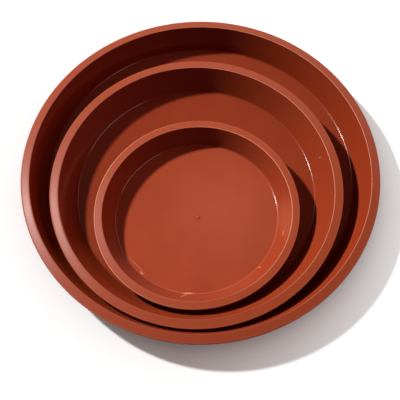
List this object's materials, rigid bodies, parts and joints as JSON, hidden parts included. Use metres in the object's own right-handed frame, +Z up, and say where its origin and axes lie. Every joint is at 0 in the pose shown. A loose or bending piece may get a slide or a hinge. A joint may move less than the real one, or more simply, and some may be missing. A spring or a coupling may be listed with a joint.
{
  "type": "plant saucer",
  "caption": "Nest of round plastic plant saucers with flat floors, sloped walls and turned-down rims; each smaller one lifts out of the next.",
  "frame": {"origin": "centre of the large saucer's underside, on the surface it stands on", "axes": "+Z up, -Y towards the viewer of the picture and the side where the rims come closest, +X to the viewer's right"},
  "size_m": [0.3, 0.3, 0.0196],
  "materials": {
    "terracotta_polypropylene": "satin moulded"
  },
  "bodies": {
    "large": {"large_saucer": "terracotta_polypropylene"},
    "medium": {"medium_saucer": "terracotta_polypropylene"},
    "small": {"small_saucer": "terracotta_polypropylene"}
  },
  "joints": [
    {"name": "medium_lift", "type": "slide", "parent": "large", "child": "medium", "axis": [0, 0, 1], "range_m": [0, 0.04]},
    {"name": "small_lift", "type": "slide", "parent": "medium", "child": "small", "axis": [0, 0, 1], "range_m": [0, 0.04]}
  ]
}
